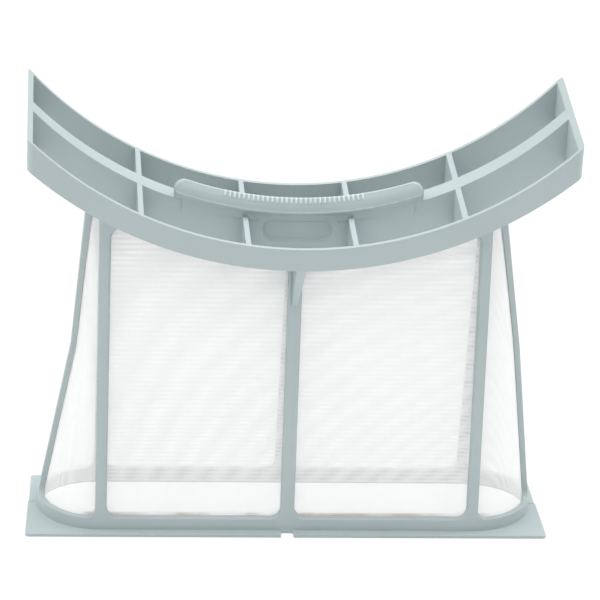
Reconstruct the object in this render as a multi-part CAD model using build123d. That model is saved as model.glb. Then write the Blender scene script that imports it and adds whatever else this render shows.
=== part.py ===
"""Tumble dryer lint filter: a curved, ribbed handle on a tent-shaped cage of two halves with mesh walls.

Axes: X along the handle, Y from front to rear, Z up. The model is drawn about the seam plane between
the two cage halves (Y = 0) and moved at the end, so that the origin lies under the handle's middle,
on the surface that the base flange rests on. All sizes are in millimetres.
"""

import os
from math import cos, radians, sin, sqrt

from build123d import *

# Handle: a rectangle from above, a hanging arc from the front
HANDLE_LENGTH = 278.0
HANDLE_FRONT = 44.0  # seam plane to the outer face of the front wall
HANDLE_REAR = 39.7  # seam plane to the outer face of the rear wall
HANDLE_LOW = 171.9  # height of the top edge at the middle of the arc
FRONT_RADIUS = 194.7  # radius of the top edge of the front wall
REAR_RADIUS = 184.1  # radius of the top edge of the rear wall
BAND_HEIGHT = 11.9  # height of the front wall, square to the arc
INNER_BAND_HEIGHT = 17.5  # height of the rear wall and of the ribs behind the front wall
BAND_SLOPE = 24.0  # length over which the ribs gain that height, from the front wall
WALL = 2.4  # front and rear walls
END_WALL = 2.7
CORNER_RADIUS = 3.0
CELLS = 5  # equal cells along the handle, parted by the ribs
OUTER_RIB = 2.7
INNER_RIB = 2.7

# Spine: the hollow beam along the middle of the handle, with a skirt that grips the cage
SPINE_WIDTH = 12.2
SPINE_HEIGHT = 18.5
SPINE_WALL = 2.2
SKIRT_REACH = 23.2  # top of the spine to the lower edge of the skirt, square to the arc
SKIRT_WALL = 1.4

# Grip lip on the spine, with a finger dish in the face below it
LIP_LENGTH = 129.0
LIP_RISE = 11.3  # crest above the spine
LIP_NOSE_RISE = 4.3  # nose above the spine
LIP_OVERHANG = 3.2  # nose in front of the spine's face
LIP_BACK = 2.6  # spine's front face to the back of the lip
LIP_CREST_WIDTH = 2.2
LIP_NOSE_RADIUS = 0.8
LIP_BULGE = 0.3  # how far the front swells out between nose and crest
LIP_ROOT = 9.0  # thicker wall below the lip, down from the top of the spine
LIP_ROOT_STEP = 0.6
LIP_ROOT_INSET = 4.5  # end of the lip to the end of its root
CREST_FLAT = 0.12  # height of the flat taken off the crest
DISH_LENGTH = 37.0
DISH_HEIGHT = 14.4
DISH_DEPTH = 2.2
DISH_Z = 166.6
DISH_DRAFT = 42.0  # degrees
PAD_MARGIN = 2.2  # thicker wall round the dish
PAD_THICKNESS = 3.8

# Gussets between the handle's long walls and the middle bars of the cage
GUSSET_FOOT_Z = 125.5
GUSSET_WALL_HEIGHT = 6.0
GUSSET_WIDTH = 4.9
GUSSET_FOOT_WIDTH = 3.1

# Cage: bars of one depth, in two halves that meet at the seam plane. The insets are from the handle's end.
BASE_INSET = 5.7  # outside of the side rails at the floor
KNEE_Z = 97.0  # height at which the side rails bend
KNEE_LEFT_INSET = 23.4  # the left rail is bowed inwards
KNEE_RIGHT_INSET = 17.5
CAGE_TOP_Z = 184.0
TOP_LEFT_INSET = 30.6
TOP_RIGHT_INSET = 31.1
FRONT_DEPTH = 30.7  # seam plane to the outside of the bars at the floor
REAR_DEPTH = 27.2
FRONT_TOP_DEPTH = 5.3  # the same at the top of the cage
REAR_TOP_DEPTH = 5.1
BAR_DEPTH = 2.7
UPRIGHT_INSET = 39.8  # middle of the uprights
UPRIGHT_WIDTH = 4.9
MIDDLE_BAR_WIDTH = 5.4
BAR_DRAFT = 22.0  # degrees, on the sides of the bars
BASE_BAR_TOP = 7.8
REAR_BASE_BAR_TOP = 9.4
WINDOW_REACH = 24.7  # top of the spine to the tops of the windows, square to the arc
WINDOW_RADIUS = 6.5
CORNER_WINDOW_RADIUS = 5.0
RAIL_DEPTH = 2.4
TONGUE_REACH = 19.3  # top of the spine to the top of the tongue that enters the skirt
FIT = 0.12  # clearance of the tongue in the skirt
SEAM_GAP = 0.1
CORNER_CHORDS = 6  # straight runs round the inside of a corner

# Base flange
FLANGE_THICKNESS = 1.6
FRONT_LEDGE = 4.7  # how far the front edge stands out from the bars
REAR_LEDGE = 1.4
FLANGE_INSET = 0.6  # front edge, from the handle's end
FLANGE_NARROWING = 1.4  # how far the front half narrows from its front edge to the seam
REAR_FLANGE_STEP = 0.5  # how far the rear half stands back at the seam
FLANGE_TAPER = 0.9  # how far the rear half narrows from the seam to its rear edge
FLANGE_CORNER = 2.0
FLANGE_SEAM_GAP = 0.4
NOTCH_WIDTH = 6.8
NOTCH_RADIUS = 1.6

# Mesh sheets inside the bars, drawn as an open grid of strands
MESH_THICKNESS = 0.4
MESH_GAP = 0.05
MESH_COLUMNS = 8  # openings across the flat of a sheet
MESH_ROWS = 6
MESH_TOP_COLUMNS = 2  # columns at each side that reach up to the arc with one more opening
MESH_STRAND = 4.8

# Values worked out from the sizes above
HALF_LENGTH = HANDLE_LENGTH / 2
HANDLE_DEPTH = HANDLE_FRONT + HANDLE_REAR
CELL_PITCH = (HANDLE_LENGTH - 2 * END_WALL) / CELLS
BASE_HALF_WIDTH = HALF_LENGTH - BASE_INSET
UPRIGHT_X = HALF_LENGTH - UPRIGHT_INSET
FLANGE_FRONT = FRONT_DEPTH + FRONT_LEDGE
FLANGE_REAR = REAR_DEPTH + REAR_LEDGE
FLANGE_HALF_WIDTH = HALF_LENGTH - FLANGE_INSET
FLANGE_SEAM_HALF_WIDTH = FLANGE_HALF_WIDTH - FLANGE_NARROWING
FRONT_LEAN = (FRONT_DEPTH - FRONT_TOP_DEPTH) / CAGE_TOP_Z
REAR_LEAN = (REAR_DEPTH - REAR_TOP_DEPTH) / CAGE_TOP_Z
SPINE_RADIUS = FRONT_RADIUS + (REAR_RADIUS - FRONT_RADIUS) * HANDLE_FRONT / HANDLE_DEPTH
AXIS_Z = HANDLE_LOW + SPINE_RADIUS
SPINE_FACE = SPINE_WIDTH / 2
FAR = 2 * HANDLE_LENGTH  # longer than anything here
CENTRING = Pos(0, (HANDLE_FRONT - HANDLE_REAR) / 2, 0)


def block(x0, x1, y0, y1, z0, z1):
    """Box between two corners."""
    return Pos((x0 + x1) / 2, (y0 + y1) / 2, (z0 + z1) / 2) * Box(x1 - x0, y1 - y0, z1 - z0)


def inside_arc(reach):
    """Cylinder about the arc's axis, down to a distance below the top of the spine."""
    return Pos(0, 0, AXIS_Z) * Rot(90, 0, 0) * Cylinder(SPINE_RADIUS + reach, FAR)


def arc_z(radius, x, centre):
    """Height of a hanging arc at x."""
    return centre - sqrt(radius**2 - x**2)


def band_face(y, height):
    """Section of the handle's band in a plane across Y, between its two arcs."""
    radius = FRONT_RADIUS + (REAR_RADIUS - FRONT_RADIUS) * (y + HANDLE_FRONT) / HANDLE_DEPTH
    centre = HANDLE_LOW + radius
    top = arc_z(radius, HALF_LENGTH, centre)
    low = arc_z(radius + height, HALF_LENGTH, centre)
    left_top = (-HALF_LENGTH, y, top)
    right_top = (HALF_LENGTH, y, top)
    left_low = (-HALF_LENGTH, y, low)
    right_low = (HALF_LENGTH, y, low)
    edges = [
        ThreePointArc(left_top, (0, y, HANDLE_LOW), right_top),
        Line(right_top, right_low),
        ThreePointArc(right_low, (0, y, HANDLE_LOW - height), left_low),
        Line(left_low, left_top),
    ]
    return make_face(edges)


def handle_band():
    """The band filled in: every wall and rib is cut out of it."""
    front = band_face(-HANDLE_FRONT, BAND_HEIGHT)
    full = band_face(-HANDLE_FRONT + BAND_SLOPE, INNER_BAND_HEIGHT)
    rear = band_face(HANDLE_REAR, INNER_BAND_HEIGHT)
    band = loft([front, full, rear], ruled=True)
    uprights = band.edges().filter_by(Axis.Z).sort_by(Axis.Y)
    return fillet(uprights[:2] + uprights[-2:], CORNER_RADIUS)


def half_sizes(z, inset, side):
    """Left and right half widths and depth of one cage half at a height, its outside moved in by inset.

    side is -1 for the front half and 1 for the rear half.
    """
    if z <= 0:
        left_inset = right_inset = BASE_INSET
    elif z < CAGE_TOP_Z:
        left_inset, right_inset = KNEE_LEFT_INSET, KNEE_RIGHT_INSET
    else:
        left_inset, right_inset = TOP_LEFT_INSET, TOP_RIGHT_INSET
    depth = FRONT_DEPTH - FRONT_LEAN * z if side < 0 else REAR_DEPTH - REAR_LEAN * z
    return HALF_LENGTH - left_inset - inset, HALF_LENGTH - right_inset - inset, depth - inset


def half_section(z, inset, side):
    """Section of one cage half at a height: straight along the front, elliptical at the corners."""
    left, right, depth = half_sizes(z, inset, side)
    if side < 0:
        left_arc = EllipticalCenterArc((-UPRIGHT_X, 0), left - UPRIGHT_X, depth, 180, arc_size=90)
        right_arc = EllipticalCenterArc((UPRIGHT_X, 0), right - UPRIGHT_X, depth, 270, arc_size=90)
    else:
        left_arc = EllipticalCenterArc((-UPRIGHT_X, 0), left - UPRIGHT_X, depth, 90, arc_size=90)
        right_arc = EllipticalCenterArc((UPRIGHT_X, 0), right - UPRIGHT_X, depth, 0, arc_size=90)
    straight = Line((-UPRIGHT_X, side * depth), (UPRIGHT_X, side * depth))
    closing = Line((-left, 0), (right, 0))
    return Pos(0, 0, z) * make_face([left_arc, straight, right_arc, closing])


def half_form(inset, side):
    """Solid form of one cage half, its outside moved in by inset."""
    heights = (0, KNEE_Z, CAGE_TOP_Z)
    return loft([half_section(z, inset, side) for z in heights], ruled=True)


def faceted_form(inset, side):
    """Form of one cage half on the inside of its walls, with round corners made of straight runs."""
    turns = [radians(90 * step / CORNER_CHORDS) for step in range(CORNER_CHORDS + 1)]
    sections = []
    for z in (0, KNEE_Z, CAGE_TOP_Z):
        left, right, depth = half_sizes(z, inset, side)
        round_right = [(UPRIGHT_X + (right - UPRIGHT_X) * cos(t), side * depth * sin(t)) for t in turns]
        round_left = [(-UPRIGHT_X - (left - UPRIGHT_X) * cos(t), side * depth * sin(t)) for t in turns]
        outline = Polyline(*round_right, *reversed(round_left), close=True)
        sections.append(Pos(0, 0, z) * make_face(outline))
    return loft(sections, ruled=True)


def spine():
    """Outside of the beam along the handle, its skirt and the wall behind the finger dish."""
    side = HALF_LENGTH - END_WALL
    reach = block(-side, side, -SPINE_FACE, SPINE_FACE, 0, AXIS_Z)
    beam = reach & (inside_arc(SPINE_HEIGHT) - inside_arc(0))
    skirt = (half_form(0, -1) + half_form(0, 1)) & (inside_arc(SKIRT_REACH) - inside_arc(SPINE_WALL))
    return beam + skirt


def spine_hollow():
    """Space inside the spine and its skirt, open below."""
    beam = block(
        -HALF_LENGTH + 2 * END_WALL,
        HALF_LENGTH - 2 * END_WALL,
        -SPINE_FACE + SPINE_WALL,
        SPINE_FACE - SPINE_WALL,
        0,
        FAR,
    )
    return beam + faceted_form(SKIRT_WALL, -1) + faceted_form(SKIRT_WALL, 1) - inside_arc(SPINE_WALL)


def front_face_plane(z):
    """Plane on the leaning front of the cage and skirt, at a height, facing out."""
    return Plane((0, -FRONT_DEPTH + FRONT_LEAN * z, z), x_dir=(1, 0, 0), z_dir=(0, -1, FRONT_LEAN))


def dish_pad():
    """Wall behind the finger dish."""
    outline = RectangleRounded(
        DISH_LENGTH + 2 * PAD_MARGIN, DISH_HEIGHT + 2 * PAD_MARGIN, PAD_MARGIN
    )
    return extrude(front_face_plane(DISH_Z) * outline, -(SKIRT_WALL + PAD_THICKNESS))


def dish():
    """Finger dish: a round-ended recess with sloping sides."""
    outline = front_face_plane(DISH_Z) * SlotOverall(DISH_LENGTH, DISH_HEIGHT)
    recess = extrude(outline, -DISH_DEPTH, taper=DISH_DRAFT)
    return recess + extrude(outline, DISH_DEPTH)


def lip_section():
    """Section of the grip lip across its length: a leaning front between a rounded nose and crest."""
    front = -SPINE_FACE
    nose = front - LIP_OVERHANG
    back = front + LIP_BACK
    foot = -SPINE_WALL / 2
    crest_front = back - LIP_CREST_WIDTH
    shoulder = LIP_RISE - LIP_CREST_WIDTH / 3
    brow = LIP_NOSE_RISE + LIP_NOSE_RADIUS
    brow_y = nose + LIP_NOSE_RADIUS / 2
    at = lambda y, rise: (0, y, HANDLE_LOW + rise)
    under = at(nose + LIP_NOSE_RADIUS, LIP_NOSE_RISE - LIP_NOSE_RADIUS)
    throat = at(front, LIP_NOSE_RISE - LIP_OVERHANG)
    swell = at((brow_y + crest_front) / 2 - LIP_BULGE, (brow + shoulder) / 2 + LIP_BULGE)
    crest = at(back - LIP_CREST_WIDTH / 2, LIP_RISE)
    edges = [
        Line(at(front, foot), throat),
        Line(throat, under),
        ThreePointArc(under, at(nose, LIP_NOSE_RISE), at(brow_y, brow)),
        ThreePointArc(at(brow_y, brow), swell, at(crest_front, shoulder)),
        ThreePointArc(at(crest_front, shoulder), crest, at(back, shoulder)),
        Line(at(back, shoulder), at(back, foot)),
        Line(at(back, foot), at(front, foot)),
    ]
    return make_face(edges)


def lip():
    """Grip lip that follows the arc, with round ends that draw in towards its foot."""
    axis = Axis((0, 0, AXIS_Z), (0, 1, 0))
    whole = revolve(lip_section(), axis, 90).rotate(axis, -45)
    half = LIP_LENGTH / 2
    top = SPINE_RADIUS - LIP_RISE + CREST_FLAT
    low = SPINE_RADIUS + SPINE_WALL / 2 + CREST_FLAT
    at = lambda x, radius: (x, 0, arc_z(radius, x, AXIS_Z))
    outline = make_face(
        [
            ThreePointArc(at(-half, top), at(0, top), at(half, top)),
            Line(at(half, top), at(half, low)),
            ThreePointArc(at(half, low), at(0, low), at(-half, low)),
            Line(at(-half, low), at(-half, top)),
        ]
    )
    outline = fillet(outline.vertices(), 0.46 * (low - top))
    depth = LIP_OVERHANG + LIP_BACK
    middle = -SPINE_FACE - LIP_OVERHANG + depth / 2
    length = LIP_LENGTH - 4 * CREST_FLAT
    plan = Pos(0, middle) * RectangleRounded(length, depth + 2 * CREST_FLAT, 0.4 * depth)
    return whole & extrude(outline, FAR, both=True) & extrude(plan, FAR)


def lip_root():
    """Thicker wall below the lip, which runs down into the leaning skirt."""
    side = LIP_LENGTH / 2 - LIP_ROOT_INSET
    front = -SPINE_FACE - LIP_ROOT_STEP
    wall = block(-side, side, front, -SPINE_FACE + SPINE_WALL / 2, 0, AXIS_Z)
    return wall & (inside_arc(LIP_ROOT) - inside_arc(-LIP_NOSE_RISE / 2))


def gusset(side):
    """Sloping bracket from a long wall of the handle to the middle bar of a cage half."""
    wall = HANDLE_FRONT - WALL / 2 if side < 0 else HANDLE_REAR - WALL / 2
    depth, lean = (FRONT_DEPTH, FRONT_LEAN) if side < 0 else (REAR_DEPTH, REAR_LEAN)
    wall_foot = HANDLE_LOW - (BAND_HEIGHT if side < 0 else INNER_BAND_HEIGHT)
    skirt_foot = HANDLE_LOW - SKIRT_REACH
    face = lambda z: side * (depth - lean * z)
    inside = side * SKIRT_WALL / 2
    outline = Polyline(
        (0, side * wall, wall_foot),
        (0, side * wall, wall_foot + GUSSET_WALL_HEIGHT),
        (0, face(skirt_foot + GUSSET_WALL_HEIGHT) - inside, skirt_foot + GUSSET_WALL_HEIGHT),
        (0, face(skirt_foot) - inside, skirt_foot),
        (0, face(skirt_foot) + side * FIT, skirt_foot),
        (0, face(GUSSET_FOOT_Z) + side * FIT, GUSSET_FOOT_Z),
        close=True,
    )
    plate = extrude(make_face(outline), GUSSET_WIDTH / 2, both=True)
    foot = face(GUSSET_FOOT_Z)
    plan = Polyline(
        (-GUSSET_WIDTH / 2, side * wall),
        (GUSSET_WIDTH / 2, side * wall),
        (GUSSET_FOOT_WIDTH / 2, foot),
        (GUSSET_FOOT_WIDTH / 2, 0),
        (-GUSSET_FOOT_WIDTH / 2, 0),
        (-GUSSET_FOOT_WIDTH / 2, foot),
        close=True,
    )
    return plate & extrude(make_face(plan), FAR)


def handle():
    """Handle moulding: walls, ribs, spine with skirt, grip lip, finger dish and gussets."""
    band = handle_band()
    cells = block(
        -HALF_LENGTH + END_WALL,
        HALF_LENGTH - END_WALL,
        -HANDLE_FRONT + WALL,
        HANDLE_REAR - WALL,
        0,
        FAR,
    )
    solid = band - cells
    for place, thickness in ((1.5 * CELL_PITCH, OUTER_RIB), (0.5 * CELL_PITCH, INNER_RIB)):
        for x in (-place, place):
            solid += band & block(x - thickness / 2, x + thickness / 2, -FAR, FAR, 0, FAR)
    solid = solid + spine() + lip_root() + gusset(-1) + gusset(1) - spine_hollow()
    return solid + dish_pad() - dish() + lip()


def side_plane(side):
    """Plane on the leaning outside of a cage half, from its foot, facing out."""
    depth, lean = (FRONT_DEPTH, FRONT_LEAN) if side < 0 else (REAR_DEPTH, REAR_LEAN)
    return Plane((0, side * depth, 0), x_dir=(-side, 0, 0), z_dir=(0, side, lean))


def flat_windows(side):
    """The two windows on either side of the middle bar, wider outside than inside."""
    plane = side_plane(side)
    lean = FRONT_LEAN if side < 0 else REAR_LEAN
    slope = sqrt(1 + lean**2)
    radius = SPINE_RADIUS + WINDOW_REACH
    low = (BASE_BAR_TOP if side < 0 else REAR_BASE_BAR_TOP) * slope
    near = MIDDLE_BAR_WIDTH / 2
    far = UPRIGHT_X - UPRIGHT_WIDTH / 2
    middle = (near + far) / 2
    at = lambda x: (x, arc_z(radius, x, AXIS_Z) * slope)
    outline = make_face(
        [
            Line((near, low), (far, low)),
            Line((far, low), at(far)),
            ThreePointArc(at(far), at(middle), at(near)),
            Line(at(near), (near, low)),
        ]
    )
    outline = fillet(outline.vertices(), WINDOW_RADIUS)
    cuts = []
    for shape in (outline, mirror(outline, Plane.YZ)):
        placed = plane * shape
        cuts.append(extrude(placed, -2 * BAR_DEPTH, taper=BAR_DRAFT) + extrude(placed, BAR_DEPTH))
    return cuts


def corner_windows(side):
    """The windows in the two round corners, between an upright and a side rail."""
    radius = SPINE_RADIUS + WINDOW_REACH
    near = UPRIGHT_X + UPRIGHT_WIDTH / 2
    far = BASE_HALF_WIDTH + BAR_DEPTH
    middle = (near + far) / 2
    at = lambda x: (x, 0, arc_z(radius, x, AXIS_Z))
    low = BASE_BAR_TOP if side < 0 else REAR_BASE_BAR_TOP
    outline = make_face(
        [
            Line((near, 0, low), (far, 0, low)),
            Line((far, 0, low), at(far)),
            ThreePointArc(at(far), at(middle), at(near)),
            Line(at(near), (near, 0, low)),
        ]
    )
    outline = fillet(outline.vertices().sort_by(Axis.X)[:2], CORNER_WINDOW_RADIUS)
    across = extrude(outline, FAR, both=True)
    tall = HANDLE_LOW
    opening = Plane.YZ * RectangleRounded(2 * FLANGE_FRONT, 2 * tall, CORNER_WINDOW_RADIUS)
    opening = Pos(0, side * (RAIL_DEPTH + FLANGE_FRONT), low + tall) * opening
    cut = across & extrude(opening, FAR)
    return [cut, mirror(cut, Plane.YZ)]


def flange(side):
    """Half of the base flange, notched in the middle of the front edge."""
    gap = side * FLANGE_SEAM_GAP / 2
    if side < 0:
        edge, seam_width, edge_width = -FLANGE_FRONT, FLANGE_SEAM_HALF_WIDTH, FLANGE_HALF_WIDTH
    else:
        seam_width = FLANGE_SEAM_HALF_WIDTH - REAR_FLANGE_STEP
        edge, edge_width = FLANGE_REAR, seam_width - FLANGE_TAPER
    outline = make_face(
        Polyline((-seam_width, gap), (seam_width, gap), (edge_width, edge), (-edge_width, edge), close=True)
    )
    corners = outline.vertices().sort_by(Axis.Y)
    outline = fillet(corners[:2] if side < 0 else corners[-2:], FLANGE_CORNER)
    plate = extrude(outline, FLANGE_THICKNESS)
    if side < 0:
        notch = Pos(0, -FLANGE_FRONT) * RectangleRounded(NOTCH_WIDTH, 2 * FRONT_LEDGE, NOTCH_RADIUS)
        plate -= extrude(notch, FLANGE_THICKNESS)
    return plate


def cage_half(side):
    """One half of the cage: base flange, base bar, uprights, middle bar, side rails and top tongue."""
    outside, inside = half_form(0, side), faceted_form(BAR_DEPTH, side)
    shell = outside - inside_arc(SKIRT_REACH + FIT)
    tongue = faceted_form(SKIRT_WALL + FIT, side) & (
        inside_arc(SKIRT_REACH + 2 * FIT) - inside_arc(TONGUE_REACH)
    )
    solid = shell + tongue + flange(side) - inside
    for cut in flat_windows(side) + corner_windows(side):
        solid -= cut
    seam = block(-FAR, FAR, -SEAM_GAP / 2, SEAM_GAP / 2, -FAR, FAR)
    return solid - seam


def mesh_openings():
    """Openings between the strands: level rows over the flat and the corners, and a top row at the sides."""
    half = MESH_STRAND / 2
    column = 2 * UPRIGHT_X / MESH_COLUMNS
    row = (HANDLE_LOW - WINDOW_REACH - BASE_BAR_TOP) / MESH_ROWS
    near = UPRIGHT_X + UPRIGHT_WIDTH / 2 + half
    rail = RAIL_DEPTH + half
    openings = []
    for step in range(MESH_ROWS + 1):
        low = BASE_BAR_TOP + step * row + half
        high = low + row - MESH_STRAND if step < MESH_ROWS else AXIS_Z
        for place in range(MESH_COLUMNS):
            inner = MESH_TOP_COLUMNS <= place < MESH_COLUMNS - MESH_TOP_COLUMNS
            if step < MESH_ROWS or not inner:
                x = -UPRIGHT_X + place * column
                openings.append(block(x + half, x + column - half, -FAR, FAR, low, high))
        if step < MESH_ROWS:
            corner = block(near, FAR, rail, FAR, low, high)
            openings += [corner, mirror(corner, Plane.XZ)]
            openings += [mirror(corner, Plane.YZ), mirror(mirror(corner, Plane.XZ), Plane.YZ)]
    return openings


def mesh_sheet(side):
    """Mesh lining one cage half: a thin sheet with a grid of openings."""
    inset = BAR_DEPTH + MESH_GAP
    sheet = faceted_form(inset, side) - faceted_form(inset + MESH_THICKNESS, side)
    sheet -= inside_arc(TONGUE_REACH + FIT)
    trimmed = block(-FAR, FAR, min(0, side * FAR), max(0, side * FAR), FLANGE_THICKNESS / 2, FAR)
    seam = block(-FAR, FAR, -SEAM_GAP / 2, SEAM_GAP / 2, -FAR, FAR)
    sheet = (sheet & trimmed) - seam
    return sheet - [hole - inside_arc(WINDOW_REACH) for hole in mesh_openings()]


def main():
    """Builds every piece and writes one STEP file for each."""
    pieces = {
        "handle": handle(),
        "front_frame": cage_half(-1),
        "rear_frame": cage_half(1),
        "front_mesh": mesh_sheet(-1),
        "rear_mesh": mesh_sheet(1),
    }
    os.makedirs("parts", exist_ok=True)
    for name, piece in pieces.items():
        export_step(CENTRING * piece, f"parts/{name}.step")
        print(name, len(piece.solids()), round(piece.volume))


main()
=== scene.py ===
"""Looks of a tumble dryer lint filter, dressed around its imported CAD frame.

The handle and the two halves of the cage keep their CAD surfaces and get a moulded plastic
finish. The mesh that lines the cage is woven here from single threads, and a row of grip ribs
stands on the lip. Lengths are in metres, in the frame of the CAD model: X along the handle,
Y to the rear, Z up.
"""

from __future__ import annotations

import logging
import math
from dataclasses import dataclass
from enum import Enum
from typing import Sequence

import bpy
import numpy as np
from mathutils import Matrix, Vector

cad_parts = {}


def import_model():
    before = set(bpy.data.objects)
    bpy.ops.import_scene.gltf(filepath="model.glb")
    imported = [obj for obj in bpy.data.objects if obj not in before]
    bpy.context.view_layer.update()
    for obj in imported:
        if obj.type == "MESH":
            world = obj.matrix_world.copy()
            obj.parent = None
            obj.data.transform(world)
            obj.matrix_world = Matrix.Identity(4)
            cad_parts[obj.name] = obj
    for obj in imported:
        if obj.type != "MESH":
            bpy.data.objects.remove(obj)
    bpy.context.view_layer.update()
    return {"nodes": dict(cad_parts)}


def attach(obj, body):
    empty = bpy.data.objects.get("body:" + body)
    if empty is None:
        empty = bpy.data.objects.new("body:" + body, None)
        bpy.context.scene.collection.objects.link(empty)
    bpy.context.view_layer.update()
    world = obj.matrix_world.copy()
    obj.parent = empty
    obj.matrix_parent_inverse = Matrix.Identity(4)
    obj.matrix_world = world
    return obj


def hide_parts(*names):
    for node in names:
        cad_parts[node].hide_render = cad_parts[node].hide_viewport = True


LOG = logging.getLogger("lint_filter")
MM = 0.001
QUARTER_TURN = math.pi / 2
ROOT_BODY = "root"
PLASTIC_NODES = ("handle", "front_frame", "rear_frame")
MESH_NODES = ("front_mesh", "rear_mesh")
TUBE_SIDES = 4

Array = np.ndarray
Socket = bpy.types.NodeSocket
Colour = tuple[float, float, float]
Place = tuple[float, float, float]
Span = tuple[float, float]

RISING: Span = (0.0, 1.0)
FALLING: Span = (1.0, 0.0)
WHITE: Colour = (1.0, 1.0, 1.0)


class Side(Enum):
    """The two halves of the cage, with the sign of Y on which each one stands."""

    FRONT = -1
    REAR = 1

    @property
    def label(self) -> str:
        """Name of the half in lower case."""
        return self.name.lower()


class Hand(Enum):
    """The two ends of the cage, with the sign of X on which each one stands."""

    LEFT = -1
    RIGHT = 1


class NodeGraph:
    """The node tree of a material or a world, with short calls to add and join nodes."""

    def __init__(self, owner: bpy.types.Material | bpy.types.World) -> None:
        """Takes over the owner's node tree and empties it."""
        self.owner = owner
        owner.use_nodes = True
        self.tree = owner.node_tree
        self.tree.nodes.clear()

    def add(self, kind: str, **settings: object) -> bpy.types.Node:
        """Adds a node.

        Args:
            kind: Blender's name of the node type, without its prefix.
            settings: attributes of the node to set.

        Returns:
            The new node.
        """
        node = self.tree.nodes.new("ShaderNode" + kind)
        for key, value in settings.items():
            setattr(node, key, value)
        return node

    def join(self, source: Socket, target: Socket) -> None:
        """Links an output to an input."""
        self.tree.links.new(source, target)

    def feed(self, source: Socket | float, target: Socket) -> None:
        """Links an output to an input, or sets the input to a number."""
        if isinstance(source, float):
            target.default_value = source
        else:
            self.join(source, target)

    def coordinates(self) -> Socket:
        """Object coordinates of the shaded point."""
        return self.add("TexCoord").outputs["Object"]

    def noise(self, coords: Socket, scale: float, detail: float) -> Socket:
        """Adds a noise texture and returns its factor."""
        node = self.add("TexNoise")
        node.inputs["Scale"].default_value = scale
        node.inputs["Detail"].default_value = detail
        self.join(coords, node.inputs["Vector"])
        return node.outputs["Fac"]

    def ramp(self, value: Socket, source: Span, target: Span) -> Socket:
        """Maps one range of a value to another, clamped, and returns the result."""
        node = self.add("MapRange", clamp=True)
        for index, number in enumerate((*source, *target), start=1):
            node.inputs[index].default_value = number
        self.join(value, node.inputs["Value"])
        return node.outputs["Result"]

    def combine(self, operation: str, first: Socket, second: Socket | float) -> Socket:
        """Works out one value from two by an operation of the Math node and returns it."""
        node = self.add("Math", operation=operation)
        self.join(first, node.inputs[0])
        self.feed(second, node.inputs[1])
        return node.outputs["Value"]

    def blend(self, factor: Socket, first: Colour | Socket, second: Colour) -> Socket:
        """Mixes two colours by a factor and returns the mixed colour."""
        node = self.add("Mix", data_type="RGBA")
        self.join(factor, node.inputs["Factor"])
        colour_in = [socket for socket in node.inputs if socket.type == "RGBA"]
        if isinstance(first, tuple):
            colour_in[0].default_value = (*first, 1.0)
        else:
            self.join(first, colour_in[0])
        colour_in[1].default_value = (*second, 1.0)
        return next(socket for socket in node.outputs if socket.type == "RGBA")

    def mix(self, share: Socket | float, first: Socket, second: Socket) -> Socket:
        """Mixes two shaders by the second one's share and returns the mixed shader."""
        node = self.add("MixShader")
        self.feed(share, node.inputs["Fac"])
        self.join(first, node.inputs[1])
        self.join(second, node.inputs[2])
        return node.outputs["Shader"]

    def rays(self, first: str, *others: str) -> Socket:
        """A value that is 1 for rays of the named kinds and 0 for all others."""
        light = self.add("LightPath")
        seen = light.outputs[f"Is {first} Ray"]
        for kind in others:
            seen = self.combine("MAXIMUM", seen, light.outputs[f"Is {kind} Ray"])
        return seen

    def finish(
        self, shader: Socket, output: str = "OutputMaterial"
    ) -> bpy.types.Material | bpy.types.World:
        """Joins the shader to an output node and returns the owner of the tree."""
        self.join(shader, self.add(output).inputs["Surface"])
        return self.owner


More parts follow.
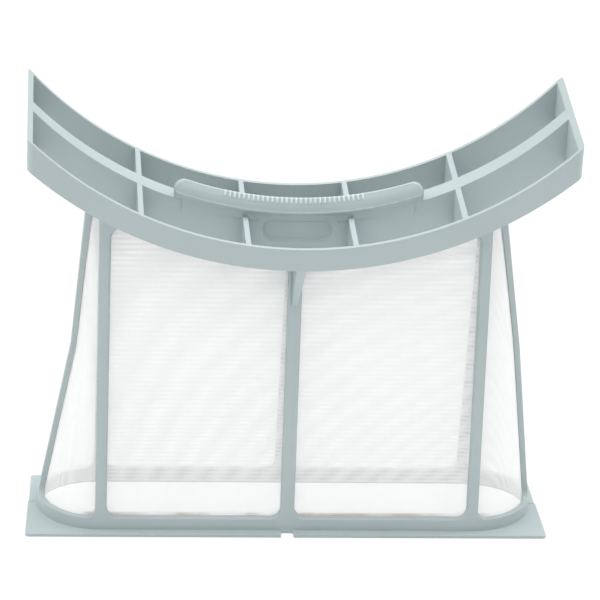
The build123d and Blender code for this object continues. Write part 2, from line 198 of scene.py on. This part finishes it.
@dataclass(frozen=True)
class MouldedPlastic:
    """Satin plastic from a spark-eroded mould: faint mottling, fine grain, edges made paler by a
    painted highlight.

    Attributes:
        name: name of the material.
        tone: main colour, linear.
        cool: colour of the cooler patches.
        edge_highlight: colour of the painted highlight along the edges.
        roughness: lowest and highest roughness.
        ior: index of refraction.
        mottle_per_m: patches per metre of length.
        mottle_detail: octaves of noise in the patches.
        mottle_range: noise at which a patch begins and at which it is full.
        grain_per_m: grains per metre of length.
        grain_detail: octaves of noise in the grain.
        grain_height: height of the grain.
        grain_strength: share of that height that shows.
        edge_radius: how far the painted edge highlight reaches.
        edge_samples: rays that look for an edge.
        edge_bend: cosine of the edge's bend at which the painted highlight begins and is full.
        edge_share: share of the painted highlight colour there.
    """

    name: str = "moulded_plastic"
    tone: Colour = (0.361, 0.424, 0.43)
    cool: Colour = (0.347, 0.41, 0.419)
    # pale colour painted along the edges as a painted highlight
    edge_highlight: Colour = (0.57, 0.64, 0.643)
    roughness: Span = (0.42, 0.55)
    ior: float = 1.49
    mottle_per_m: float = 24.0
    mottle_detail: float = 4.0
    mottle_range: Span = (0.35, 0.65)
    grain_per_m: float = 2600.0
    grain_detail: float = 2.0
    grain_height: float = 0.02 * MM
    grain_strength: float = 0.6
    edge_radius: float = 0.4 * MM
    edge_samples: int = 4
    edge_bend: Span = (0.995, 0.86)
    edge_share: Span = (0.0, 0.55)

    def material(self) -> bpy.types.Material:
        """Builds the node material."""
        graph = NodeGraph(bpy.data.materials.new(self.name))
        coords = graph.coordinates()
        patches = graph.noise(coords, self.mottle_per_m, self.mottle_detail)
        mottle = graph.ramp(patches, self.mottle_range, RISING)
        grain = graph.noise(coords, self.grain_per_m, self.grain_detail)

        rounded = graph.add("Bevel", samples=self.edge_samples)
        rounded.inputs["Radius"].default_value = self.edge_radius
        bend = graph.add("VectorMath", operation="DOT_PRODUCT")
        graph.join(rounded.outputs["Normal"], bend.inputs[0])
        graph.join(graph.add("NewGeometry").outputs["True Normal"], bend.inputs[1])
        # painted highlight: wherever the Bevel normal bends from the true normal, at convex and
        # concave edges alike, the colour turns paler
        edge = graph.ramp(bend.outputs["Value"], self.edge_bend, self.edge_share)
        colour = graph.blend(edge, graph.blend(mottle, self.tone, self.cool), self.edge_highlight)

        bump = graph.add("Bump")
        bump.inputs["Distance"].default_value = self.grain_height
        bump.inputs["Strength"].default_value = self.grain_strength
        graph.join(grain, bump.inputs["Height"])
        graph.join(rounded.outputs["Normal"], bump.inputs["Normal"])

        shader = graph.add("BsdfPrincipled")
        shader.inputs["IOR"].default_value = self.ior
        graph.join(colour, shader.inputs["Base Color"])
        graph.join(graph.ramp(mottle, RISING, self.roughness), shader.inputs["Roughness"])
        graph.join(bump.outputs["Normal"], shader.inputs["Normal"])
        return graph.finish(shader.outputs["BSDF"])


# paler plastic for the grip ribs: a painted highlight standing in for the light that the raised
# ribs catch
RIB_HIGHLIGHT_PLASTIC = MouldedPlastic(
    name="rib_painted_highlight_plastic",
    tone=(0.52, 0.59, 0.595),
    cool=(0.49, 0.56, 0.565),
    edge_highlight=(0.68, 0.74, 0.745),
)


@dataclass(frozen=True)
class FilterThread:
    """White polyester thread of the mesh, with a little of the light passing through it.

    Attributes:
        name: name of the material.
        tone: main colour, linear.
        dull: colour of duller stretches of thread.
        glue: colour of the seam where the mesh enters the front base bar.
        roughness: roughness of the thread.
        passing: share of the light that passes through.
        noise_detail: octaves of noise in the stretches and the patches.
        stretch_per_m: changes of tone per metre.
        stretch_range: noise at which a dull stretch begins and at which it is full.
        seam_y: the glue is in front of this plane.
        seam_fade: distance behind that plane over which it fades.
        seam_z: height at which the glue is strongest, and at which it has faded.
        patch_per_m: patches of glue per metre.
        patch_range: noise at which a patch of glue begins and at which it is full.
        patch_share: share of the glue's colour between the patches and in them.
    """

    name: str = "filter_thread"
    tone: Colour = (0.98, 0.982, 0.982)
    dull: Colour = (0.955, 0.96, 0.96)
    glue: Colour = (0.5, 0.42, 0.33)
    roughness: float = 0.45
    passing: float = 0.4
    noise_detail: float = 3.0
    stretch_per_m: float = 160.0
    stretch_range: Span = (0.4, 0.7)
    seam_y: float = -23.7 * MM
    seam_fade: float = 1.0 * MM
    seam_z: Span = (9.3 * MM, 10.3 * MM)
    patch_per_m: float = 40.0
    patch_range: Span = (0.42, 0.62)
    patch_share: Span = (0.1, 0.9)

    def material(self) -> bpy.types.Material:
        """Builds the node material."""
        graph = NodeGraph(bpy.data.materials.new(self.name))
        coords = graph.coordinates()
        stretches = graph.noise(coords, self.stretch_per_m, self.noise_detail)
        dulled = graph.ramp(stretches, self.stretch_range, RISING)

        spot = graph.add("SeparateXYZ")
        graph.join(coords, spot.inputs["Vector"])
        low = graph.ramp(spot.outputs["Z"], self.seam_z, FALLING)
        fade = (self.seam_y, self.seam_y + self.seam_fade)
        front = graph.ramp(spot.outputs["Y"], fade, FALLING)
        patches = graph.noise(coords, self.patch_per_m, self.noise_detail)
        patchy = graph.ramp(patches, self.patch_range, self.patch_share)
        seam = graph.combine("MULTIPLY", graph.combine("MULTIPLY", low, front), patchy)
        colour = graph.blend(seam, graph.blend(dulled, self.tone, self.dull), self.glue)

        body = graph.add("BsdfPrincipled")
        body.inputs["Roughness"].default_value = self.roughness
        graph.join(colour, body.inputs["Base Color"])
        through = graph.add("BsdfTranslucent")
        graph.join(colour, through.inputs["Color"])
        mixed = graph.mix(self.passing, body.outputs["BSDF"], through.outputs["BSDF"])
        return graph.finish(mixed)


@dataclass(frozen=True)
class StudioFloor:
    """Pale floor that looks white to the camera and still takes a soft shadow.

    Attributes:
        name: name of the material.
        tone: colour of the floor, linear.
        white_share: how much of what the camera sees is plain white.
    """

    name: str = "studio_floor"
    tone: Colour = (0.93, 0.93, 0.93)
    white_share: float = 0.93

    def material(self) -> bpy.types.Material:
        """Builds the node material."""
        graph = NodeGraph(bpy.data.materials.new(self.name))
        seen = graph.rays("Camera", "Glossy", "Transmission")
        share = graph.combine("MULTIPLY", seen, self.white_share)
        matt = graph.add("BsdfDiffuse")
        matt.inputs["Color"].default_value = (*self.tone, 1.0)
        white = graph.add("Emission")
        return graph.finish(graph.mix(share, matt.outputs["BSDF"], white.outputs["Emission"]))


def new_mesh(
    name: str, points: Array, faces: Array, material: bpy.types.Material
) -> bpy.types.Object:
    """Puts points and quads into a new mesh object.

    Args:
        name: name of the object.
        points: one row of X, Y, Z for each point.
        faces: one row of four point numbers for each quad.
        material: finish of the whole mesh.

    Returns:
        The new object, linked to the scene.
    """
    mesh = bpy.data.meshes.new(name)
    mesh.from_pydata(points.reshape(-1, 3).tolist(), [], faces.reshape(-1, 4).tolist())
    mesh.validate()
    mesh.update()
    mesh.materials.append(material)
    piece = bpy.data.objects.new(name, mesh)
    bpy.context.scene.collection.objects.link(piece)
    return piece


def grid_faces(rows: int, columns: int) -> Array:
    """Quads between the points of a grid, numbered row by row.

    Args:
        rows: how many rows of points.
        columns: how many points in a row.

    Returns:
        One row of four point numbers for each quad.
    """
    index = np.arange(rows * columns).reshape(rows, columns)
    corners = [index[1:, :-1], index[1:, 1:], index[:-1, 1:], index[:-1, :-1]]
    return np.stack(corners, axis=-1).reshape(-1, 4)


def tube_faces(paths: int, steps: int) -> Array:
    """Quads of square tubes: each ring is joined to the next one, and a quad closes each end.

    Args:
        paths: how many tubes.
        steps: how many rings each tube has.

    Returns:
        One row of four point numbers for each quad.
    """
    ring = np.arange(TUBE_SIDES)
    turn = (ring + 1) % TUBE_SIDES
    first = np.arange(paths)[:, None, None] * steps * TUBE_SIDES
    start = first + np.arange(steps - 1)[None, :, None] * TUBE_SIDES
    after = start + TUBE_SIDES
    walls = np.stack([start + ring, start + turn, after + turn, after + ring], axis=-1)
    near = first[:, 0] + ring[::-1]
    far = first[:, 0] + (steps - 1) * TUBE_SIDES + ring
    return np.concatenate([walls.reshape(-1, 4), near, far])


def read_between(at: Array, way: Array, rows: Array) -> Array:
    """Reads rows of numbers, each with its place on a way, at places between them.

    Args:
        at: places to read at.
        way: place of each row, rising.
        rows: rows of numbers.

    Returns:
        One row of numbers for each place.
    """
    return np.stack([np.interp(at, way, column) for column in rows.T], axis=-1)


@dataclass
class CageShape:
    """Outside form of the cage, as in the CAD model: flat in front, elliptical at the corners.

    Attributes:
        seam_y: plane in which the two halves meet.
        upright_x: middle to the uprights, where the round corners begin.
        heights: floor, knee of the side rails and top.
        left: half widths on the left at those heights.
        right: half widths on the right at those heights.
        depth_front: seam to the front at the floor, and how far it leans in per unit of height.
        depth_rear: the same for the rear.
        arc_radius: radius of the handle's spine.
        arc_low: height of the spine's lowest point.
    """

    seam_y: float = 2.15 * MM
    upright_x: float = 99.2 * MM
    heights: tuple[float, float, float] = (0.0, 97.0 * MM, 184.0 * MM)
    left: tuple[float, float, float] = (133.3 * MM, 115.6 * MM, 108.4 * MM)
    right: tuple[float, float, float] = (133.3 * MM, 121.5 * MM, 107.9 * MM)
    depth_front: Span = (30.7 * MM, 0.13804)
    depth_rear: Span = (27.2 * MM, 0.12011)
    arc_radius: float = 189.13 * MM
    arc_low: float = 171.9 * MM

    @property
    def arc_centre(self) -> float:
        """Height of the middle of the spine's arc."""
        return self.arc_low + self.arc_radius

    def half_width(self, z: Array, hand: Hand) -> Array:
        """Half width at each height, by straight lines through the three given ones."""
        return np.interp(z, self.heights, self.right if hand is Hand.RIGHT else self.left)

    def foot_and_lean(self, side: Side) -> Span:
        """Seam to the outside at the floor, and how far it leans in per unit of height."""
        return self.depth_front if side is Side.FRONT else self.depth_rear

    def depth(self, z: Array, side: Side) -> Array:
        """Seam to the outside at each height."""
        foot, lean = self.foot_and_lean(side)
        return foot - lean * z

    def arc_z(self, x: Array, reach: float) -> Array:
        """Height at x of the arc that hangs a distance below the top of the spine."""
        return self.arc_centre - np.sqrt((self.arc_radius + reach) ** 2 - x**2)

    def arc_x(self, z: Array, reach: float) -> Array:
        """Half width of that arc at a height, and 0 below it."""
        drop = self.arc_centre - z
        return np.sqrt(np.maximum((self.arc_radius + reach) ** 2 - drop**2, 0.0))


@dataclass
class MeshLining:
    """Woven mesh that lines one half of the cage.

    Upright threads keep their distance along the surface from the upright bar, so that they stay
    parallel and end at the side rail where the corner narrows. Cross threads run level round the
    corners.

    Attributes:
        side: half of the cage.
        shape: form of the cage.
        finish: finish of the threads.
        inset: outside of the bars to the middle of the mesh.
        foot: height of the lower edge.
        top_reach: top of the spine to the upper edge, square to the arc.
        pitch: distance between threads.
        radius: half the width of a thread.
        flatness: thickness of a thread as a share of its width.
        lift: distance of the two sets of threads from the middle of the mesh.
        corner_steps: steps of a cross thread round a corner.
        height_steps: steps of an upright thread in a corner.
        ellipse_points: points at which the way round a corner is summed.
        height_points: heights at which the narrowing of a corner is measured.
        cut_points: heights at which the flat piece of mesh is measured.
        end_share: share of the way round a corner at which the last thread stops.
    """

    side: Side
    shape: CageShape
    finish: bpy.types.Material
    inset: float = 3.2 * MM
    foot: float = 1.2 * MM
    top_reach: float = 20.0 * MM
    pitch: float = 0.4 * MM
    radius: float = 0.085 * MM
    flatness: float = 0.18
    lift: float = 0.035 * MM
    corner_steps: int = 12
    height_steps: int = 8
    ellipse_points: int = 65
    height_points: int = 60
    cut_points: int = 200
    end_share: float = 0.9999

    @property
    def top(self) -> float:
        """Height that the lining doesn't pass."""
        return self.shape.heights[-1] - self.pitch

    @property
    def quarter(self) -> Array:
        """Angles of a corner's ellipse from the upright to the seam, in short steps."""
        return np.linspace(QUARTER_TURN, 0.0, self.ellipse_points)

    def depth(self, z: Array) -> Array:
        """Seam to the middle of the mesh at each height."""
        return self.shape.depth(z, self.side) - self.inset

    def axes(self, z: Array, hand: Hand) -> tuple[Array, Array]:
        """Half axes of the corner's ellipse at each height, along X and along Y."""
        across = self.shape.half_width(z, hand) - self.inset - self.shape.upright_x
        return across, self.depth(z)

    def place(self, x: Array, y: Array, z: Array) -> Array:
        """Points from X, the distance from the seam and Z."""
        spot = np.broadcast_arrays(x, self.shape.seam_y + self.side.value * y, z)
        return np.stack(spot, axis=-1)

    def along(self, z: Array, angle: Array, hand: Hand) -> Array:
        """Distance along the corner's ellipse from the upright, for each height and angle."""
        a, b = self.axes(z, hand)
        x = a[..., None] * np.cos(angle)
        y = b[..., None] * np.sin(angle)
        steps = np.hypot(np.diff(x, axis=-1), np.diff(y, axis=-1))
        nothing = np.zeros((*steps.shape[:-1], 1))
        return np.concatenate([nothing, np.cumsum(steps, axis=-1)], axis=-1)

    def corner(self, angle: Array, z: Array, hand: Hand) -> tuple[Array, Array]:
        """Points on a round corner and the outward normals there.

        A point is (upright + a cos t, b sin t) with half axes a and b at its height, and the
        normal has the direction (cos t / a, sin t / b).

        Args:
            angle: angle of the ellipse, 0 at the seam and a quarter turn at the upright.
            z: height.
            hand: end of the cage.

        Returns:
            Points and unit normals.
        """
        a, b = self.axes(z, hand)
        x = hand.value * (self.shape.upright_x + a * np.cos(angle))
        points = self.place(x, b * np.sin(angle), z)
        nx, ny = np.cos(angle) / a, np.sin(angle) / b
        length = np.hypot(nx, ny)
        outwards = [hand.value * nx / length, self.side.value * ny / length, np.zeros_like(nx)]
        return points, np.stack(outwards, axis=-1)

    def tubes(
        self, path: Array, normal: Array, across: Array, lift: float
    ) -> tuple[Array, Array]:
        """Threads as flat tubes with four sides, one for each path.

        A ring's corners lie half a width to both sides of the path, and half a thickness outwards
        and inwards.

        Args:
            path: points of each thread, as threads by steps by 3.
            normal: outward normals there.
            across: directions in the surface, square to the thread.
            lift: distance outwards from the middle of the mesh.

        Returns:
            Points and quads.
        """
        middle = path + lift * normal
        thick = self.flatness * normal
        ring = np.stack([across, thick, -across, -thick], axis=2) * self.radius
        points = middle[:, :, None, :] + ring
        return points.reshape(-1, 3), tube_faces(path.shape[0], path.shape[1])

    def cross_threads(self, hand: Hand) -> tuple[Array, Array]:
        """Level threads of one end: round the corner, then along the flat.

        A thread starts at the seam and ends in the middle of the flat or at the top arc. One that
        would start above the top arc is left out.

        Args:
            hand: end of the cage.

        Returns:
            Points and quads.
        """
        z = np.arange(self.foot, self.top, self.pitch)
        angle = np.linspace(0.0, QUARTER_TURN, self.corner_steps + 1)
        points, normal = self.corner(*np.meshgrid(angle, z), hand)
        end_x = np.minimum(self.shape.arc_x(z, self.top_reach), self.shape.upright_x)
        end = self.place(hand.value * end_x, self.depth(z), z)
        points = np.concatenate([points, end[:, None, :]], axis=1)
        normal = np.concatenate([normal, normal[:, -1:, :]], axis=1)
        below_arc = self.shape.arc_z(np.abs(points[:, 0, 0]), self.top_reach) > z
        points, normal = points[below_arc], normal[below_arc]
        across = np.broadcast_to(np.array([0.0, 0.0, 1.0]), points.shape)
        return self.tubes(points, normal, across, -self.lift)

    def flat_threads(self) -> tuple[Array, Array]:
        """Upright threads of the flat part, straight from the foot to the top arc."""
        count = int(2 * self.shape.upright_x / self.pitch)
        x = np.linspace(-self.shape.upright_x, self.shape.upright_x, count)
        top = self.shape.arc_z(np.abs(x), self.top_reach)
        z = np.stack([np.full_like(x, self.foot), top], axis=1)
        points = self.place(x[:, None], self.depth(z), z)
        _, lean = self.shape.foot_and_lean(self.side)
        normal = np.array([0.0, self.side.value, lean]) / math.hypot(1.0, lean)
        across = np.broadcast_to(np.array([1.0, 0.0, 0.0]), points.shape)
        return self.tubes(points, np.broadcast_to(normal, points.shape), across, self.lift)

    def corner_threads(self, hand: Hand) -> tuple[Array, Array]:
        """Upright threads of a corner, each at a fixed distance along it from the upright.

        The distance along the ellipse is summed in short steps at each height, and the angle at
        which it reaches the thread's own distance is read from that sum. A thread ends at the
        height at which the whole corner is as short as that distance.

        Args:
            hand: end of the cage.

        Returns:
            Points and quads.
        """
        fine = self.quarter
        heights = np.linspace(self.foot, self.top, self.height_points)
        whole = self.along(heights, fine, hand)[:, -1]
        distance = np.arange(self.pitch, whole[0], self.pitch)
        top = np.interp(-distance, -whole, heights)
        rise = np.linspace(0.0, 1.0, self.height_steps + 1)
        z = self.foot + (top - self.foot)[:, None] * rise[None, :]

        summed = self.along(z, fine, hand)
        target = np.minimum(distance[:, None, None], summed[..., -1:] * self.end_share)
        after = np.clip((summed < target).sum(axis=-1, keepdims=True), 1, fine.size - 1)
        low = np.take_along_axis(summed, after - 1, axis=-1)
        high = np.take_along_axis(summed, after, axis=-1)
        share = (target - low) / (high - low)
        angle = fine[after - 1] + share * (fine[after] - fine[after - 1])

        points, normal = self.corner(angle[..., 0], z, hand)
        across = np.stack([-normal[..., 1], normal[..., 0], normal[..., 2]], axis=-1)
        return self.tubes(points, normal, across, self.lift)

    def cut(self) -> tuple[float, float, float]:
        """Size of the piece of mesh before it is bent round the cage.

        At each height the width is the flat between the uprights, less what lies above the top
        arc, plus the two corners' lengths. The area is the mean width times the height.

        Returns:
            Greatest width, height along the lean, and area.
        """
        z = np.linspace(self.foot, self.top, self.cut_points)
        corners = sum(self.along(z, self.quarter, hand)[:, -1] for hand in Hand)
        above_arc = np.minimum(self.shape.arc_x(z, self.top_reach), self.shape.upright_x)
        width = 2 * (self.shape.upright_x - above_arc) + corners
        _, lean = self.shape.foot_and_lean(self.side)
        height = (z[-1] - z[0]) * math.hypot(1.0, lean)
        return float(width.max()), float(height), float(width.mean() * height)

    def build(self) -> bpy.types.Object:
        """Weaves the lining and puts it in the place of its CAD sheet."""
        sets = [self.cross_threads(hand) for hand in Hand]
        sets += [self.flat_threads()]
        sets += [self.corner_threads(hand) for hand in Hand]
        starts = np.cumsum([0] + [len(points) for points, _ in sets[:-1]])
        points = np.concatenate([points for points, _ in sets])
        faces = np.concatenate([faces + start for (_, faces), start in zip(sets, starts)])
        piece = new_mesh(f"{self.side.label}_woven_mesh", points, faces, self.finish)
        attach(piece, ROOT_BODY)
        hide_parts(f"{self.side.label}_mesh")
        width, length, area = self.cut()
        return piece


@dataclass
class GripRibs:
    """Row of plain raised ribs along the crest of the lip.

    Attributes:
        shape: form of the cage, for the arc that the lip follows.
        finish: finish of the ribs.
        reach: distances along the lip, from the middle, of the first and the last rib.
        pitch: distance between ribs.
        width: width of a rib.
        height: height of a rib above the lip.
        sunk: depth of a rib's foot below the surface.
        front: three points of the lip's front, as (Y from the seam, height above the spine).
        crest: three points of the round crest above it.
        stretch: way along that section, from the nose, at which the ribs begin and end.
        flat_power: how flat a rib's top is: the power by which it falls to its sides and ends.
        width_points: points across a rib.
        length_points: points along a rib.
        arc_points: points of each arc of the section.
    """

    shape: CageShape
    finish: bpy.types.Material
    reach: Span = (-40.3 * MM, 35.1 * MM)
    pitch: float = 2.6 * MM
    width: float = 1.2 * MM
    height: float = 0.7 * MM
    sunk: float = 0.2 * MM
    front: Sequence[Span] = (
        (-8.9 * MM, 5.1 * MM),
        (-7.6 * MM, 8.13 * MM),
        (-5.7 * MM, 10.57 * MM),
    )
    crest: Sequence[Span] = (
        (-5.7 * MM, 10.57 * MM),
        (-4.6 * MM, 11.3 * MM),
        (-3.5 * MM, 10.57 * MM),
    )
    stretch: Span = (3.9 * MM, 7.9 * MM)
    flat_power: int = 6
    width_points: int = 7
    length_points: int = 9
    arc_points: int = 60

    def arc(self, points: Sequence[Span]) -> Array:
        """Points of the circle through three given ones, from the first to the last.

        The middle of the circle is as far from the first point as from the other two.

        Args:
            points: the three points.

        Returns:
            One row for each point of the arc.
        """
        first, second, third = np.asarray(points)
        lines = 2.0 * np.array([second - first, third - first])
        sums = np.array([second @ second - first @ first, third @ third - first @ first])
        middle = np.linalg.solve(lines, sums)
        arms = (first - middle, third - middle)
        start, end = (math.atan2(arm[1], arm[0]) % (2 * math.pi) for arm in arms)
        angle = np.linspace(start, end, self.arc_points)
        circle = np.stack([np.cos(angle), np.sin(angle)], axis=1)
        return middle + np.linalg.norm(arms[0]) * circle

    def section(self, distance: Array) -> tuple[Array, Array]:
        """Points and outward normals of the lip's front and crest.

        Args:
            distance: way along the section from the nose.

        Returns:
            Points and normals, each as Y from the seam and height above the spine.
        """
        line = np.concatenate([self.arc(self.front)[:-1], self.arc(self.crest)])
        steps = np.linalg.norm(np.diff(line, axis=0), axis=1)
        way = np.concatenate([[0.0], np.cumsum(steps)])
        tangent = np.gradient(line, way, axis=0)
        normal = np.stack([-tangent[:, 1], tangent[:, 0]], axis=1)
        return read_between(distance, way, line), read_between(distance, way, normal)

    def surface(self, place: Array) -> Array:
        """Points of all ribs, each one a pillow on the lip.

        With u from -1 to 1 across a rib and v from -1 to 1 along it, the height is the full one
        times (1 - u to the flat power) times (1 - v to the flat power), less the sunk depth. The
        section is then turned about the middle of the spine's arc to the rib's place.

        Args:
            place: distance of each rib along the lip, from the middle.

        Returns:
            Points, as ribs by points across by points along by 3.
        """
        u = np.linspace(-1.0, 1.0, self.width_points)[:, None]
        way = np.linspace(0.0, 1.0, self.length_points)[None, :]
        u, way = np.broadcast_arrays(u, way)
        v = 2.0 * way - 1.0
        start, end = self.stretch
        spot, normal = self.section(start + way * (end - start))
        crown = (1.0 - u**self.flat_power) * (1.0 - v**self.flat_power)
        proud = (self.height + self.sunk) * crown - self.sunk
        spot = spot + normal * proud[..., None]
        radius = self.shape.arc_radius - spot[..., 1]
        angle = (place[:, None, None] + u * self.width / 2) / self.shape.arc_radius
        x = radius * np.sin(angle)
        y = self.shape.seam_y + spot[..., 0]
        z = self.shape.arc_centre - radius * np.cos(angle)
        return np.stack(np.broadcast_arrays(x, y, z), axis=-1)

    def build(self) -> bpy.types.Object:
        """Builds all ribs as one piece."""
        first, last = self.reach
        place = np.arange(first, last + self.pitch / 2, self.pitch)
        quads = grid_faces(self.width_points, self.length_points)
        starts = np.arange(place.size) * self.width_points * self.length_points
        faces = starts[:, None, None] + quads
        piece = new_mesh("lip_grip_ribs", self.surface(place), faces, self.finish)
        piece.data.shade_smooth()
        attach(piece, ROOT_BODY)
        return piece


@dataclass(frozen=True)
class Lamp:
    """Square soft lamp that the camera doesn't see.

    Attributes:
        name: name of the lamp.
        place: where it stands.
        size: length of its side.
        power: power in watts.
        target: what it points at.
        mirrored: whether glossy surfaces mirror it.
    """

    name: str
    place: Place
    size: float
    power: float
    target: Place = (0.0, 0.0, 0.15)
    mirrored: bool = True

    def build(self) -> None:
        """Adds the lamp to the scene."""
        data = bpy.data.lights.new(self.name, "AREA")
        data.size = self.size
        data.energy = self.power
        lamp = bpy.data.objects.new(self.name, data)
        lamp.location = self.place
        lamp.visible_camera = False
        lamp.visible_glossy = self.mirrored
        ahead = Vector(self.target) - Vector(self.place)
        lamp.rotation_euler = ahead.to_track_quat("-Z", "Y").to_euler()
        bpy.context.scene.collection.objects.link(lamp)


@dataclass
class Studio:
    """Floor, lamps, surrounding light and camera.

    Attributes:
        camera_place: where the camera stands.
        yaw: turn of the view to the right, in degrees.
        pitch: tilt of the view downwards, in degrees.
        roll: turn of the camera about its view, in degrees.
        focal_px: focal length in pixels of the square picture.
        picture_px: side of the picture in pixels.
        sensor_mm: side of the camera's sensor, in millimetres.
        sight: distance up to which the camera sees.
        floor_half: half the side of the floor.
        floor_points: points along a side of the floor.
        surround: strength of the surrounding light.
        lamps: all lamps.
    """

    camera_place: Place = (-134.28 * MM, -1531.68 * MM, 864.33 * MM)
    yaw: float = 5.142
    pitch: float = 25.7127
    roll: float = 2.82
    focal_px: float = 3268.0
    picture_px: float = 600.0
    sensor_mm: float = 36.0
    sight: float = 20.0
    floor_half: float = 6.0
    floor_points: int = 9
    surround: float = 0.6
    lamps: Sequence[Lamp] = (
        Lamp("top", (0.0, 0.3, 1.5), 1.6, 21.0),
        Lamp("left", (-1.3, 0.0, 1.0), 1.0, 9.5),
        Lamp("right", (1.3, 0.2, 1.0), 1.0, 11.0),
        Lamp("wash", (0.0, -0.8, 0.6), 1.0, 1.9, target=(0.0, -0.75, 0.0)),
        Lamp("behind", (0.2, 1.6, 0.5), 1.4, 2.0, mirrored=False),
    )

    def camera(self) -> None:
        """Puts the camera at the picture's angle, with no depth of field."""
        yaw, pitch, roll = (math.radians(turn) for turn in (self.yaw, self.pitch, self.roll))
        level_ahead = Vector((math.sin(yaw), math.cos(yaw), 0.0))
        ahead = math.cos(pitch) * level_ahead - math.sin(pitch) * Vector((0.0, 0.0, 1.0))
        level = Vector((math.cos(yaw), -math.sin(yaw), 0.0))
        above = level.cross(ahead)
        right = math.cos(roll) * level + math.sin(roll) * above
        up = math.cos(roll) * above - math.sin(roll) * level
        data = bpy.data.cameras.new("camera")
        data.sensor_width = self.sensor_mm
        data.lens = self.focal_px / self.picture_px * self.sensor_mm
        data.clip_end = self.sight
        camera = bpy.data.objects.new("camera", data)
        turn = Matrix((right, up, -ahead)).transposed().to_4x4()
        camera.matrix_world = Matrix.Translation(self.camera_place) @ turn
        bpy.context.scene.collection.objects.link(camera)
        bpy.context.scene.camera = camera

    def floor(self) -> None:
        """Adds the floor as a grid on the plane that the flange rests on."""
        side = np.linspace(-self.floor_half, self.floor_half, self.floor_points)
        x, y = np.meshgrid(side, side, indexing="ij")
        points = np.stack([x, y, np.zeros_like(x)], axis=-1)
        quads = grid_faces(self.floor_points, self.floor_points)
        floor = new_mesh("floor", points, quads, StudioFloor().material())

    def surroundings(self) -> None:
        """Even pale light from all sides, white to the camera."""
        graph = NodeGraph(bpy.data.worlds.new("studio"))
        seen = graph.rays("Camera", "Transmission")
        even, white = graph.add("Background"), graph.add("Background")
        even.inputs["Strength"].default_value = self.surround
        for background in (even, white):
            background.inputs["Color"].default_value = (*WHITE, 1.0)
        mixed = graph.mix(seen, even.outputs["Background"], white.outputs["Background"])
        bpy.context.scene.world = graph.finish(mixed, "OutputWorld")

    def build(self) -> None:
        """Sets up the whole studio."""
        self.floor()
        self.surroundings()
        self.camera()
        for lamp in self.lamps:
            lamp.build()
        bpy.context.scene.view_settings.view_transform = "Standard"


def dress(node: bpy.types.Object, material: bpy.types.Material) -> None:
    """Gives a CAD node one finish."""
    node.data.materials.clear()
    node.data.materials.append(material)
    LOG.info("dressed %s in %s", node.name, material.name)


def main() -> None:
    """Builds the looks in order."""
    logging.basicConfig(level=logging.INFO, format="%(name)s: %(message)s")
    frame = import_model()
    plastic = MouldedPlastic().material()
    for name in PLASTIC_NODES:
        dress(frame["nodes"][name], plastic)
    thread = FilterThread().material()
    for name in MESH_NODES:
        dress(frame["nodes"][name], thread)
    shape = CageShape()
    for side in Side:
        piece = MeshLining(side, shape, thread).build()
        LOG.info("wove %s, %d faces", piece.name, len(piece.data.polygons))
    # the ribs wear the paler plastic, a painted highlight along the lip's crest
    ribs = GripRibs(shape, RIB_HIGHLIGHT_PLASTIC.material()).build()
    LOG.info("set %s, %d faces", ribs.name, len(ribs.data.polygons))
    Studio().build()


if __name__ == "__main__":
    main()
